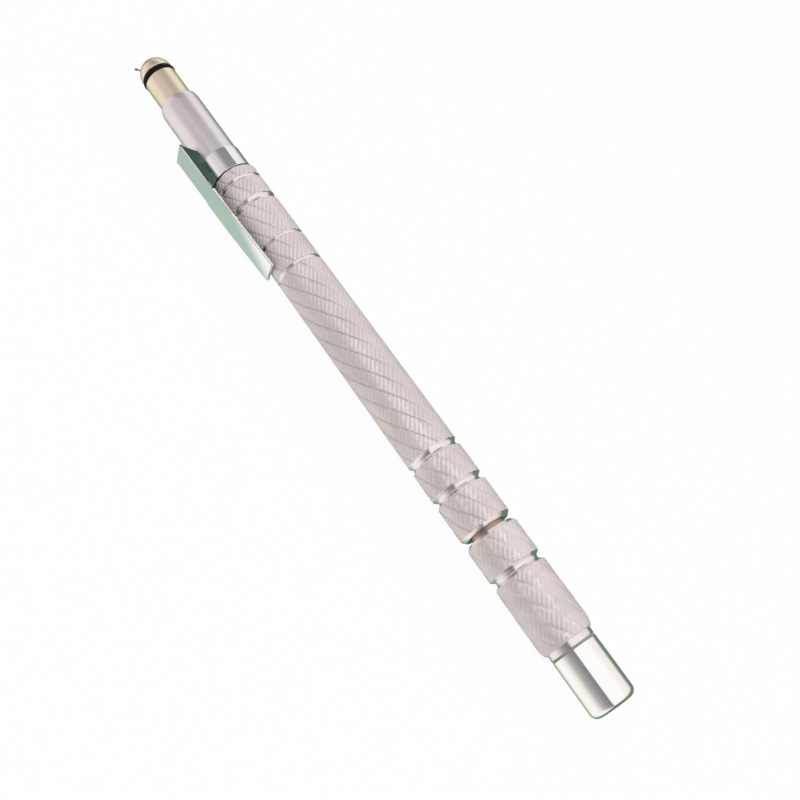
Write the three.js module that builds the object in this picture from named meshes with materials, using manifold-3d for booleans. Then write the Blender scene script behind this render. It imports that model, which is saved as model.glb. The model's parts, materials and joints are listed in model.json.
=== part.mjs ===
// A pocket carbide scriber that lies along X, in millimetres.
// The tail cap's flat end is at X = 0, the point looks along -X, and Z is up.
// Turning the rear grip by half a turn draws the brass nose back into the neck.
// The pieces are drawn with the tool turned to its own top. The whole tool is then rolled until it
// lies on its grips and on the edge of its clip, as it does on a table.
import * as THREE from 'three';
import { mergeVertices } from 'three/addons/utils/BufferGeometryUtils.js';
import Module from 'manifold-3d';

const wasm = await Module();
wasm.setup();

const RESTING_ROLL = THREE.MathUtils.degToRad(48.5); // from the tool's own top, towards -Y

// Clearances
const SLIDING_FIT = 0.1; // radial, between pieces that move in each other
const PRESSED_FIT = 0.05; // radial, between pieces that stay put
const FACE_GAP = 0.05; // between faces that butt
const NUT_SLOT_FIT = 0.15; // around the twisted bar in the nut
const CORE_FIT = 0.15; // radial, between the core and the front grip's bore
const CUT_OVERRUN = 1; // how far a cutter runs past the face that it opens

// Tail cap and its seal
const CAP_LENGTH = 10.5;
const CAP_RADIUS = 4;
const CAP_ROUNDING = 1.3;
const CAP_CHAMFER = 0.12;
const SPIGOT_LENGTH = 6;
const SPIGOT_RADIUS = 2.5;
const SEAL_THICKNESS = 0.3;
const SEAL_INSET = 0.12; // how far the seal's rim stays below the cap's

// Knurled grips
const REAR_GRIP_LENGTH = 21.7;
const FRONT_GRIP_LENGTH = 77.1;
const GRIP_GAP = 0.8;
const GRIP_FRONT_RADIUS = 4.33;
const GRIP_REAR_RADIUS = 4.78; // where the taper would reach the tail end
const GRIP_BORE_RADIUS = 3.2;
const COLLAR_LENGTH = 1.1;
const REAR_ROUNDING = { length: 2.4, height: 0.62 };
const GAP_CHAMFER = { length: 0.65, height: 0.62 };
const MOUTH_CHAMFER = { length: 0.3, height: 0.2 };

// Ring grooves. "at" is the distance of the middle from the end of the grip that the list names.
const GROOVES_FROM_FRONT = [
  { at: 2.45, opening: 0.85, floor: 0.45, depth: 0.36 },
  { at: 7.3, opening: 1.35, floor: 0.95, depth: 0.4 },
  { at: 16.05, opening: 0.7, floor: 0.35, depth: 0.34 },
  { at: 21.95, opening: 0.75, floor: 0.4, depth: 0.36 },
];
const GROOVES_FROM_GAP = [
  { at: 14.6, opening: 1.5, floor: 0.6, depth: 0.47 },
  { at: 7.7, opening: 1.6, floor: 0.6, depth: 0.72 },
];
const REAR_GROOVES_FROM_GAP = [{ at: 7.3, opening: 1.7, floor: 0.7, depth: 0.78 }];

// Spiral flutes of the grips
const FLUTE_COUNT = 10;
const FLUTE_LEAD = 42;
const FLUTE_DEPTH = 0.22;
const FLUTE_HALF_ANGLE = 0.07; // radians
const FLUTE_STEP = 1.8; // longest distance between two sections of the grip along X

// Neck
const NECK_LENGTH = 14.6;
const NECK_WALL = 0.44;
const NECK_ROUNDING = { length: 1.7, height: 0.3 };
const NECK_SPIGOT_LENGTH = 10;
const NECK_SPIGOT_WALL = 0.8;

// Clip and its washer. Heights are those of the arm's outer face, with the arm straight up.
const BAND_LENGTH = 4.55;
const BAND_THICKNESS = 0.35;
const BAND_STANDS_OUT = 0.18; // from the neck
const CLIP_WASHER_THICKNESS = 0.25;
const CLIP_WASHER_STANDS_OUT = 0.04; // from the band
const CLIP_ROLL = THREE.MathUtils.degToRad(60); // from the tool's own top, towards -Y
const CLIP_SHEET = 0.5;
const CLIP_WIDTH = 4.8;
const CLIP_BASE_WIDTH = 3.9;
const CLIP_REACH_FORWARD = 4.35; // from the band's front edge to the arm's folded end
const CLIP_REACH_BACK = 20.1; // from the band's rear edge to the arm's free end
const CLIP_BEND_FROM_BAND = 8; // where the arm bends inwards
const CLIP_ROOT_RISE = 2.22; // above the band, at the folded end
const CLIP_MIDDLE_RISE = 1.87; // above the band, at the bend
const CLIP_TIP_GAP = 0.25; // under the arm's free end
const CHEEK_FRONT_SLOPE = 2.3;
const CHEEK_REAR_SLOPE = 1.9;

// Nose
const NOSE_REACH = 7.8; // from the neck's mouth to the middle of the dome
const NOSE_RADIUS = 3.1;
const NOSE_IN_NECK = 2.4;
const NOSE_CHAMFER = 0.2;
const NOSE_SOCKET_DEPTH = 4.8;
const RING_FROM_DOME = 0.9; // from the middle of the dome to the middle of the O-ring
const RING_SECTION = 0.55;
const RING_STANDS_OUT = 0.16;
const STEM_ANGLE = THREE.MathUtils.degToRad(36); // off the axis, towards -Y
const STEM_RADIUS = 0.15;
const STEM_IN_DOME = 1.5; // where the stem starts, from the middle of the dome
const STEM_LENGTH = 2.75;
const BIT_RADIUS = 0.22;
const BIT_LENGTH = 0.6;
const BIT_POINT = 0.3;

// Twist drive
const NOSE_TRAVEL = 12;
const DRIVE_LEAD = 2 * NOSE_TRAVEL; // half a turn moves the nose over its whole travel
const TUBE_WALL = 0.6;
const NUT_WALL = 0.55; // around the carrier tube
const NUT_LENGTH = 8.5;
const NUT_SOCKET_DEPTH = 2.5;
const NUT_FROM_CORE = 13.5; // from the core's front end to the nut's rear end, with the nose out
const BAR_WIDTH = 3;
const BAR_THICKNESS = 1.2;
const BAR_PAST_NUT = 2;
const BAR_STEP = 0.8;
const SHANK_RADIUS = 1.4;
const SHANK_LENGTH = 4.8;
const PIN_RADIUS = 0.5;
const PIN_FROM_SPIGOT_END = 5;
const PIN_IN_SLOT = 0.42; // how deep the pin reaches into the tube's wall
const SLOT_OVERRUN = 0.7;

// Core and its bearing
const CORE_IN_REAR_GRIP = 11.8;
const CORE_IN_FRONT_GRIP = 4.2;
const JOURNAL_RADIUS = 2.3;
const JOURNAL_END = 1.6; // past the circlip
const BUSH_LENGTH = 5.7;
const THRUST_THICKNESS = 0.3;
const CIRCLIP_THICKNESS = 0.5;
const CIRCLIP_DEPTH = 0.3; // how deep it sits in the journal
const CIRCLIP_RADIUS = 2.9;
const CIRCLIP_OPENING = THREE.MathUtils.degToRad(70);
const DRAG_RING_FROM_SHOULDER = 1.5;
const DRAG_RING_SECTION = 0.4;

// Facets
const OUTER_SIDES = 36;
const INNER_SIDES = 24;
const SMALL_SIDES = 12;
const RING_STEPS = 10;
const ARC_STEPS = 6;

// Colours
const STEEL = 0xcdc3c6;
const TOOL_STEEL = 0x8d8480;
const DARK_CARBIDE = 0x4a4644;
const SPRING_STEEL = 0x3a3a3c;
const CHROME = 0xdde2de;
const POLISHED_STEEL = 0xe2ddd9;
const BRASS = 0xe6cfa8;
const RUBBER = 0x141414;

// Stations along X, from the tail towards the point
const capFront = -CAP_LENGTH;
const rearGripEnd = capFront - SEAL_THICKNESS;
const rearGripFront = rearGripEnd - REAR_GRIP_LENGTH;
const frontGripEnd = rearGripFront - GRIP_GAP;
const frontGripFront = frontGripEnd - FRONT_GRIP_LENGTH;
const bandEnd = frontGripFront - CLIP_WASHER_THICKNESS - FACE_GAP;
const bandFront = bandEnd - BAND_LENGTH;
const clipFold = bandFront - CLIP_REACH_FORWARD;
const clipBend = bandEnd + CLIP_BEND_FROM_BAND;
const clipTip = bandEnd + CLIP_REACH_BACK;
const neckShoulder = bandFront - FACE_GAP;
const neckFront = neckShoulder - NECK_LENGTH;
const neckEnd = frontGripFront + NECK_SPIGOT_LENGTH;
const domeMiddle = neckFront - NOSE_REACH;
const ringMiddle = domeMiddle + RING_FROM_DOME;
const noseEnd = neckFront + NOSE_IN_NECK;
const coreEnd = rearGripFront + CORE_IN_REAR_GRIP;
const coreShoulder = frontGripEnd - CORE_IN_FRONT_GRIP;
const dragRingMiddle = coreShoulder + DRAG_RING_FROM_SHOULDER;
const bushFront = coreShoulder - FACE_GAP - BUSH_LENGTH;
const thrustFront = bushFront - FACE_GAP - THRUST_THICKNESS;
const circlipFront = thrustFront - FACE_GAP - CIRCLIP_THICKNESS;
const coreFront = circlipFront - JOURNAL_END;
const nutEnd = coreFront - NUT_FROM_CORE;
const nutFront = nutEnd - NUT_LENGTH;
const nutSocketEnd = nutFront + NUT_SOCKET_DEPTH;
const tubeFront = noseEnd - NOSE_SOCKET_DEPTH + FACE_GAP;
const tubeEnd = nutSocketEnd - FACE_GAP;
const pinStation = neckEnd - PIN_FROM_SPIGOT_END;

// Radii that follow from their neighbours
const neckBoreRadius = NOSE_RADIUS + RING_STANDS_OUT + PRESSED_FIT;
const neckRadius = neckBoreRadius + NECK_WALL;
const bandRadius = neckRadius + BAND_STANDS_OUT;
const bandBoreRadius = bandRadius - BAND_THICKNESS;
const seatRadius = bandBoreRadius - SLIDING_FIT;
const nutRadius = GRIP_BORE_RADIUS - SLIDING_FIT;
const tubeRadius = nutRadius - NUT_WALL - PRESSED_FIT;
const tubeSocketRadius = tubeRadius + PRESSED_FIT;
const guideBoreRadius = tubeRadius + SLIDING_FIT;
const neckSpigotRadius = guideBoreRadius + NECK_SPIGOT_WALL;
const coreRadius = GRIP_BORE_RADIUS - CORE_FIT;
const journalBoreRadius = JOURNAL_RADIUS + SLIDING_FIT;
const capBoreRadius = SPIGOT_RADIUS + SLIDING_FIT;
const ringRadius = NOSE_RADIUS + RING_STANDS_OUT - RING_SECTION;
const dragRingRadius = GRIP_BORE_RADIUS - PRESSED_FIT - DRAG_RING_SECTION;

// The knurled grips' radius where no groove cuts them.
function gripRadius(x) {
  return THREE.MathUtils.mapLinear(x, frontGripFront, rearGripEnd, GRIP_FRONT_RADIUS, GRIP_REAR_RADIUS);
}

// The height of the clip's arm above the axis at a station.
function armHeight(x) {
  const bendHeight = bandRadius + CLIP_MIDDLE_RISE;
  if (x <= clipBend) {
    return THREE.MathUtils.mapLinear(x, clipFold, clipBend, bandRadius + CLIP_ROOT_RISE, bendHeight);
  }
  const tipHeight = gripRadius(clipTip) + CLIP_TIP_GAP + CLIP_SHEET;
  return THREE.MathUtils.mapLinear(x, clipBend, clipTip, bendHeight, tipHeight);
}

// Points of a quarter ellipse from one [x, radius] to another; "flatFirst" leaves along X.
function quarter([x0, r0], [x1, r1], flatFirst) {
  return Array.from({ length: ARC_STEPS + 1 }, (_, i) => {
    const turn = (i / ARC_STEPS) * (Math.PI / 2);
    const slow = 1 - Math.cos(turn);
    const fast = Math.sin(turn);
    const [alongX, alongR] = flatFirst ? [fast, slow] : [slow, fast];
    return [x0 + (x1 - x0) * alongX, r0 + (r1 - r0) * alongR];
  });
}

// A body turned about X from an outline of [x, radius] points.
// The outline runs tailwards outside, and ends on the axis or where it began.
function turned(outline, sides = OUTER_SIDES) {
  const points = outline.map(([x, r]) => new THREE.Vector2(r, x));
  return new THREE.LatheGeometry(points, sides, Math.PI / sides).rotateZ(-Math.PI / 2);
}

// A plain ring between two stations.
function ring(front, end, inner, outer, sides = INNER_SIDES) {
  const start = [front, inner];
  return turned([start, [front, outer], [end, outer], [end, inner], start], sides);
}

// A plain rod between two stations.
function rod(front, end, radius, sides = INNER_SIDES) {
  return turned([[front, 0], [front, radius], [end, radius], [end, 0]], sides);
}

// A round-section ring about X.
function roundRing(middle, radius, section, sides) {
  const outline = Array.from({ length: RING_STEPS + 1 }, (_, i) => {
    const turn = ((i % RING_STEPS) / RING_STEPS) * 2 * Math.PI;
    return [middle - section * Math.cos(turn), radius + section * Math.sin(turn)];
  });
  return turned(outline, sides);
}

// A geometry as a solid that can be joined and cut.
function solid(geometry) {
  const bare = geometry.clone();
  bare.deleteAttribute('normal');
  bare.deleteAttribute('uv');
  const merged = mergeVertices(bare, 1e-4);
  return new wasm.Manifold(
    new wasm.Mesh({
      numProp: 3,
      vertProperties: new Float32Array(merged.attributes.position.array),
      triVerts: new Uint32Array(merged.index.array),
    }),
  );
}

// The geometry of a solid, for drawing.
function drawn(body) {
  const mesh = body.getMesh();
  const geometry = new THREE.BufferGeometry();
  geometry.setAttribute('position', new THREE.BufferAttribute(mesh.vertProperties, 3));
  geometry.setIndex(new THREE.BufferAttribute(mesh.triVerts, 1));
  geometry.computeVertexNormals();
  return geometry;
}

// Turns each vertex about X by an angle that grows with X, by one left-hand turn for each lead.
function twist(geometry, lead, start) {
  const position = geometry.attributes.position;
  const axis = new THREE.Vector3(1, 0, 0);
  const point = new THREE.Vector3();
  for (let i = 0; i < position.count; i += 1) {
    point.fromBufferAttribute(position, i);
    point.applyAxisAngle(axis, (-2 * Math.PI * (point.x - start)) / lead);
    position.setXYZ(i, point.x, point.y, point.z);
  }
  return geometry;
}

// The outline of a ring groove whose middle is at x.
function grooveOutline({ opening, floor, depth }, x) {
  const bottom = gripRadius(x) - depth;
  return [
    [x - opening / 2, gripRadius(x - opening / 2)],
    [x - floor / 2, bottom],
    [x + floor / 2, bottom],
    [x + opening / 2, gripRadius(x + opening / 2)],
  ];
}

// Adds stations to the long stretches of an outline, so that it can be twisted.
function refined(outline) {
  return outline.flatMap(([x, r], i) => {
    if (i === 0) return [[x, r]];
    const [x0, r0] = outline[i - 1];
    const steps = Math.max(1, Math.ceil(Math.abs(x - x0) / FLUTE_STEP));
    return Array.from({ length: steps }, (_, k) => {
      const share = (k + 1) / steps;
      return [x0 + (x - x0) * share, r0 + (r - r0) * share];
    });
  });
}

// Cuts the spiral flutes into a turned bar: each flute takes four columns of its facets.
function fluted(outline) {
  const columns = 4 * FLUTE_COUNT;
  const points = refined(outline).map(([x, r]) => new THREE.Vector2(r, x));
  const geometry = new THREE.LatheGeometry(points, columns).rotateZ(-Math.PI / 2);
  const position = geometry.attributes.position;
  const pitch = (2 * Math.PI) / FLUTE_COUNT;
  const turns = [0, FLUTE_HALF_ANGLE, pitch / 2, pitch - FLUTE_HALF_ANGLE];
  for (let i = 0; i < position.count; i += 1) {
    const column = Math.floor(i / points.length) % columns;
    const { x: radius, y: station } = points[i % points.length];
    const full = gripRadius(station) - FLUTE_DEPTH;
    const reach = column % 4 === 0 ? Math.min(radius, full) : radius;
    const turn = Math.floor(column / 4) * pitch + turns[column % 4];
    position.setXYZ(i, station, -reach * Math.sin(turn), reach * Math.cos(turn));
  }
  return twist(geometry, FLUTE_LEAD, frontGripFront);
}

// The bit and its stem are drawn along X with the dome's middle at 0, then placed on the dome.
function carbideTip() {
  const end = -(STEM_IN_DOME + STEM_LENGTH);
  const point = end - BIT_LENGTH;
  return turned([[point, 0], [point + BIT_POINT, BIT_RADIUS], [end, BIT_RADIUS], [end, 0]], SMALL_SIDES);
}

function pointStem() {
  const front = -(STEM_IN_DOME + STEM_LENGTH) + FACE_GAP;
  return rod(front, -STEM_IN_DOME, STEM_RADIUS, SMALL_SIDES);
}

function placedOnDome(mesh) {
  mesh.position.set(domeMiddle, 0, 0);
  mesh.rotation.z = STEM_ANGLE;
  return mesh;
}

function noseBarrel() {
  const socket = noseEnd - NOSE_SOCKET_DEPTH;
  const grooveHalf = RING_SECTION + PRESSED_FIT;
  const grooveFloor = ringRadius - RING_SECTION - PRESSED_FIT;
  const outline = [
    ...quarter([domeMiddle - NOSE_RADIUS, 0], [domeMiddle, NOSE_RADIUS], false),
    [ringMiddle - grooveHalf, NOSE_RADIUS],
    [ringMiddle - grooveHalf, grooveFloor],
    [ringMiddle + grooveHalf, grooveFloor],
    [ringMiddle + grooveHalf, NOSE_RADIUS],
    [noseEnd - NOSE_CHAMFER, NOSE_RADIUS],
    [noseEnd, NOSE_RADIUS - NOSE_CHAMFER],
    [noseEnd, tubeSocketRadius],
    [socket, tubeSocketRadius],
    [socket, 0],
  ];
  const holeFront = -(NOSE_RADIUS + CUT_OVERRUN);
  const hole = rod(holeFront, -(STEM_IN_DOME - FACE_GAP), STEM_RADIUS + PRESSED_FIT, SMALL_SIDES);
  hole.rotateZ(STEM_ANGLE).translate(domeMiddle, 0, 0);
  return drawn(solid(turned(outline)).subtract(solid(hole)));
}

// A rod that points straight down from the axis at the guide pin's station.
function radialRod(from, to, radius) {
  return new THREE.CylinderGeometry(radius, radius, to - from, SMALL_SIDES)
    .rotateX(Math.PI / 2)
    .translate(pinStation, 0, -(from + to) / 2);
}

function neckSleeve() {
  const mouth = [neckFront, neckBoreRadius];
  const rounding = quarter(
    [neckFront, neckRadius - NECK_ROUNDING.height],
    [neckFront + NECK_ROUNDING.length, neckRadius],
    false,
  );
  const outline = [
    mouth,
    ...rounding,
    [neckShoulder, neckRadius],
    [neckShoulder, seatRadius],
    [frontGripFront, seatRadius],
    [frontGripFront, neckSpigotRadius],
    [neckEnd, neckSpigotRadius],
    [neckEnd, guideBoreRadius],
    [neckShoulder, guideBoreRadius],
    [neckShoulder, neckBoreRadius],
    mouth,
  ];
  const pinHole = radialRod(0, neckSpigotRadius + CUT_OVERRUN, PIN_RADIUS + PRESSED_FIT);
  return drawn(solid(turned(outline)).subtract(solid(pinHole)));
}

function guidePin() {
  return radialRod(tubeRadius - PIN_IN_SLOT, neckSpigotRadius - PRESSED_FIT, PIN_RADIUS);
}

// The tube that carries the nose. Its slot slides along the guide pin and keeps it from turning.
function carrierTube() {
  const slotHalf = PIN_RADIUS + SLIDING_FIT;
  const slotFront = pinStation - NOSE_TRAVEL - slotHalf - SLOT_OVERRUN;
  const slotEnd = pinStation + slotHalf + SLOT_OVERRUN;
  const slotDepth = tubeRadius + CUT_OVERRUN;
  const slot = new THREE.BoxGeometry(slotEnd - slotFront, 2 * slotHalf, slotDepth);
  slot.translate((slotFront + slotEnd) / 2, 0, -slotDepth / 2);
  const tube = ring(tubeFront, tubeEnd, tubeRadius - TUBE_WALL, tubeRadius);
  return drawn(solid(tube).subtract(solid(slot)));
}

// A flat bar along X, twisted along its length.
function twistedBar(front, end, clearance) {
  const width = BAR_WIDTH / 2 + clearance;
  const thickness = BAR_THICKNESS / 2 + clearance;
  const corners = [[-width, -thickness], [width, -thickness], [width, thickness], [-width, thickness]];
  const section = new THREE.Shape(corners.map(([x, y]) => new THREE.Vector2(x, y)));
  const steps = Math.ceil((end - front) / BAR_STEP);
  const bar = new THREE.ExtrudeGeometry(section, { depth: end - front, steps, bevelEnabled: false });
  bar.rotateY(Math.PI / 2).translate(front, 0, 0);
  return twist(bar, DRIVE_LEAD, nutEnd);
}

function driveNut() {
  const body = solid(rod(nutFront, nutEnd, nutRadius));
  const socket = solid(rod(nutFront - CUT_OVERRUN, nutSocketEnd, tubeSocketRadius));
  const slot = solid(twistedBar(nutSocketEnd - CUT_OVERRUN, nutEnd + CUT_OVERRUN, NUT_SLOT_FIT));
  return drawn(body.subtract(socket).subtract(slot));
}

function driveBar() {
  const barEnd = coreFront - FACE_GAP;
  const bar = twistedBar(nutFront - BAR_PAST_NUT, barEnd, 0);
  const shank = rod(barEnd - FACE_GAP, coreFront + SHANK_LENGTH, SHANK_RADIUS);
  return drawn(solid(bar).add(solid(shank)));
}

function driveCore() {
  const hole = SHANK_RADIUS + PRESSED_FIT;
  const holeEnd = coreFront + SHANK_LENGTH + FACE_GAP;
  const clipGrooveFront = circlipFront - FACE_GAP;
  const clipGrooveEnd = circlipFront + CIRCLIP_THICKNESS + FACE_GAP;
  const clipGrooveFloor = JOURNAL_RADIUS - CIRCLIP_DEPTH;
  const dragGrooveHalf = DRAG_RING_SECTION + PRESSED_FIT;
  const dragGrooveFloor = dragRingRadius - DRAG_RING_SECTION - PRESSED_FIT;
  const outline = [
    [holeEnd, 0],
    [holeEnd, hole],
    [coreFront, hole],
    [coreFront, JOURNAL_RADIUS],
    [clipGrooveFront, JOURNAL_RADIUS],
    [clipGrooveFront, clipGrooveFloor],
    [clipGrooveEnd, clipGrooveFloor],
    [clipGrooveEnd, JOURNAL_RADIUS],
    [coreShoulder, JOURNAL_RADIUS],
    [coreShoulder, coreRadius],
    [dragRingMiddle - dragGrooveHalf, coreRadius],
    [dragRingMiddle - dragGrooveHalf, dragGrooveFloor],
    [dragRingMiddle + dragGrooveHalf, dragGrooveFloor],
    [dragRingMiddle + dragGrooveHalf, coreRadius],
    [coreEnd, coreRadius],
    [coreEnd, 0],
  ];
  return turned(outline, INNER_SIDES);
}

// An open spring ring in the journal's groove.
function circlip() {
  const inner = JOURNAL_RADIUS - CIRCLIP_DEPTH + PRESSED_FIT;
  const half = CIRCLIP_OPENING / 2;
  const shape = new THREE.Shape();
  shape.absarc(0, 0, CIRCLIP_RADIUS, half, 2 * Math.PI - half, false);
  shape.absarc(0, 0, inner, 2 * Math.PI - half, half, true);
  shape.closePath();
  const settings = { depth: CIRCLIP_THICKNESS, bevelEnabled: false, curveSegments: SMALL_SIDES };
  return new THREE.ExtrudeGeometry(shape, settings).rotateY(Math.PI / 2).translate(circlipFront, 0, 0);
}

function frontGrip() {
  const front = frontGripFront;
  const end = frontGripEnd;
  const outline = [
    [front, 0],
    [front, gripRadius(front) - MOUTH_CHAMFER.height],
    [front + MOUTH_CHAMFER.length, gripRadius(front)],
    ...GROOVES_FROM_FRONT.flatMap((groove) => grooveOutline(groove, front + groove.at)),
    ...GROOVES_FROM_GAP.flatMap((groove) => grooveOutline(groove, end - groove.at)),
    [end - GAP_CHAMFER.length, gripRadius(end)],
    [end, gripRadius(end) - GAP_CHAMFER.height],
    [end, 0],
  ];
  const spigotBore = rod(front - CUT_OVERRUN, neckEnd + FACE_GAP, neckSpigotRadius + PRESSED_FIT, OUTER_SIDES);
  const bore = rod(front - CUT_OVERRUN, end + CUT_OVERRUN, GRIP_BORE_RADIUS);
  return drawn(solid(fluted(outline)).subtract(solid(spigotBore)).subtract(solid(bore)));
}

function rearGrip() {
  const front = rearGripFront;
  const shoulder = rearGripEnd - COLLAR_LENGTH;
  const crown = shoulder - REAR_ROUNDING.length;
  const outline = [
    [front, 0],
    [front, gripRadius(front) - GAP_CHAMFER.height],
    [front + GAP_CHAMFER.length, gripRadius(front)],
    ...REAR_GROOVES_FROM_GAP.flatMap((groove) => grooveOutline(groove, front + groove.at)),
    ...quarter([crown, gripRadius(crown)], [shoulder, gripRadius(crown) - REAR_ROUNDING.height], true),
    [shoulder, CAP_RADIUS],
    [rearGripEnd, CAP_RADIUS],
    [rearGripEnd, 0],
  ];
  const coreBore = rod(front - CUT_OVERRUN, coreEnd + FACE_GAP, coreRadius + PRESSED_FIT);
  const capBore = rod(coreEnd, rearGripEnd + CUT_OVERRUN, capBoreRadius);
  return drawn(solid(fluted(outline)).subtract(solid(coreBore)).subtract(solid(capBore)));
}

function tailCap() {
  return turned([
    [capFront - SPIGOT_LENGTH, 0],
    [capFront - SPIGOT_LENGTH, SPIGOT_RADIUS],
    [capFront, SPIGOT_RADIUS],
    [capFront, CAP_RADIUS - CAP_CHAMFER],
    [capFront + CAP_CHAMFER, CAP_RADIUS],
    ...quarter([-CAP_ROUNDING, CAP_RADIUS], [0, CAP_RADIUS - CAP_ROUNDING], true),
    [0, 0],
  ]);
}

// A plate whose outline lies in the X-Z plane, centred on Y.
function plate(points, width) {
  const shape = new THREE.Shape(points.map(([x, z]) => new THREE.Vector2(x, z)));
  return new THREE.ExtrudeGeometry(shape, { depth: width, bevelEnabled: false })
    .rotateX(Math.PI / 2)
    .translate(0, width / 2, 0);
}

// One of the two leaning cheeks between the band and the arm, over the arm's whole length.
// Its foot is inside the band, and side is 1 or -1.
function cheek(side) {
  const top = armHeight(clipFold) - CLIP_SHEET / 2;
  const across = (half, z) => new THREE.Vector2(side * half, z);
  const section = new THREE.Shape([
    across(CLIP_BASE_WIDTH / 2 - CLIP_SHEET, seatRadius),
    across(CLIP_BASE_WIDTH / 2, seatRadius),
    across(CLIP_WIDTH / 2, top),
    across(CLIP_WIDTH / 2 - CLIP_SHEET, top),
  ]);
  return new THREE.ExtrudeGeometry(section, { depth: clipTip - clipFold, bevelEnabled: false })
    .rotateX(Math.PI / 2)
    .rotateZ(Math.PI / 2)
    .translate(clipFold, 0, 0);
}

// The spring clip, pressed from one sheet: band, cheeks and arm, drawn with the arm straight up.
function pocketClip() {
  const stations = [clipFold, clipBend, clipTip];
  const outer = stations.map((x) => [x, armHeight(x)]);
  const inner = stations.map((x) => [x, armHeight(x) - CLIP_SHEET]).reverse();
  const arm = solid(plate([...outer, ...inner], CLIP_WIDTH));
  const cheekOutline = [
    [clipFold, armHeight(clipFold)],
    [clipFold + CHEEK_FRONT_SLOPE, bandBoreRadius],
    [bandEnd, bandBoreRadius],
    [bandEnd + CHEEK_REAR_SLOPE, armHeight(bandEnd)],
  ];
  const cheeks = solid(cheek(1))
    .add(solid(cheek(-1)))
    .intersect(solid(plate(cheekOutline, 2 * CLIP_WIDTH)));
  const band = solid(rod(bandFront, bandEnd, bandRadius, OUTER_SIDES));
  const seat = solid(rod(clipFold, bandEnd + CUT_OVERRUN, bandBoreRadius, OUTER_SIDES));
  return drawn(band.add(cheeks).add(arm).subtract(seat));
}

// A named piece with its finish.
function piece(name, geometry, color, roughness, metalness = 1) {
  const material = new THREE.MeshStandardMaterial({ color, roughness, metalness });
  const mesh = new THREE.Mesh(geometry, material);
  mesh.name = name;
  return mesh;
}

function noseAssembly() {
  const group = new THREE.Group();
  const noseRing = roundRing(ringMiddle, ringRadius, RING_SECTION, OUTER_SIDES);
  group.add(
    placedOnDome(piece('carbide_tip', carbideTip(), DARK_CARBIDE, 0.35)),
    placedOnDome(piece('point_stem', pointStem(), TOOL_STEEL, 0.4)),
    piece('nose_barrel', noseBarrel(), BRASS, 0.25),
    piece('nose_o_ring', noseRing, RUBBER, 0.5, 0),
    piece('carrier_tube', carrierTube(), BRASS, 0.35),
    piece('drive_nut', driveNut(), BRASS, 0.4),
  );
  return group;
}

function neckAssembly() {
  const group = new THREE.Group();
  const clip = piece('pocket_clip', pocketClip(), CHROME, 0.1);
  clip.rotation.x = CLIP_ROLL;
  const washerFront = bandEnd + FACE_GAP / 2;
  const washerEnd = frontGripFront - FACE_GAP / 2;
  const washerBore = seatRadius + SLIDING_FIT;
  const washer = ring(washerFront, washerEnd, washerBore, bandRadius + CLIP_WASHER_STANDS_OUT);
  group.add(
    piece('neck_sleeve', neckSleeve(), STEEL, 0.25),
    piece('guide_pin', guidePin(), TOOL_STEEL, 0.4),
    clip,
    piece('clip_washer', washer, RUBBER, 0.7, 0),
  );
  return group;
}

function gripAssembly() {
  const group = new THREE.Group();
  const bushRadius = GRIP_BORE_RADIUS - PRESSED_FIT;
  const bush = ring(bushFront, bushFront + BUSH_LENGTH, journalBoreRadius, bushRadius);
  const thrust = ring(thrustFront, thrustFront + THRUST_THICKNESS, journalBoreRadius, CIRCLIP_RADIUS);
  const dragRing = roundRing(dragRingMiddle, dragRingRadius, DRAG_RING_SECTION, INNER_SIDES);
  group.add(
    piece('front_grip', frontGrip(), STEEL, 0.35),
    piece('bearing_bush', bush, BRASS, 0.4),
    piece('thrust_washer', thrust, TOOL_STEEL, 0.3),
    piece('circlip', circlip(), SPRING_STEEL, 0.4),
    piece('drag_o_ring', dragRing, RUBBER, 0.5, 0),
    piece('drive_core', driveCore(), BRASS, 0.35),
    piece('drive_bar', driveBar(), TOOL_STEEL, 0.3),
    piece('rear_grip', rearGrip(), STEEL, 0.35),
  );
  return group;
}

function tailAssembly() {
  const group = new THREE.Group();
  const sealFront = rearGripEnd + FACE_GAP / 2;
  const sealEnd = capFront - FACE_GAP / 2;
  const seal = ring(sealFront, sealEnd, capBoreRadius, CAP_RADIUS - SEAL_INSET);
  group.add(
    piece('cap_seal', seal, RUBBER, 0.7, 0),
    piece('tail_cap', tailCap(), POLISHED_STEEL, 0.18),
  );
  return group;
}

const lying = new THREE.Group();
lying.rotation.x = RESTING_ROLL;
lying.add(noseAssembly(), neckAssembly(), gripAssembly(), tailAssembly());

const scriber = new THREE.Group();
scriber.add(lying);

export default scriber;
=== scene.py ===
"""The looks of a pocket carbide scriber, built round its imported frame.

Each sub-assembly is a class that builds and dresses its own pieces. Sizes in the classes are in
millimetres, along the frame's own axes: X runs from the point to the tail, and Z is up.
"""

from __future__ import annotations

import json
import logging
import math
from dataclasses import dataclass, field, replace
from enum import Enum

import bmesh
import bpy
import numpy as np
from mathutils import Matrix, Vector

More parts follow.
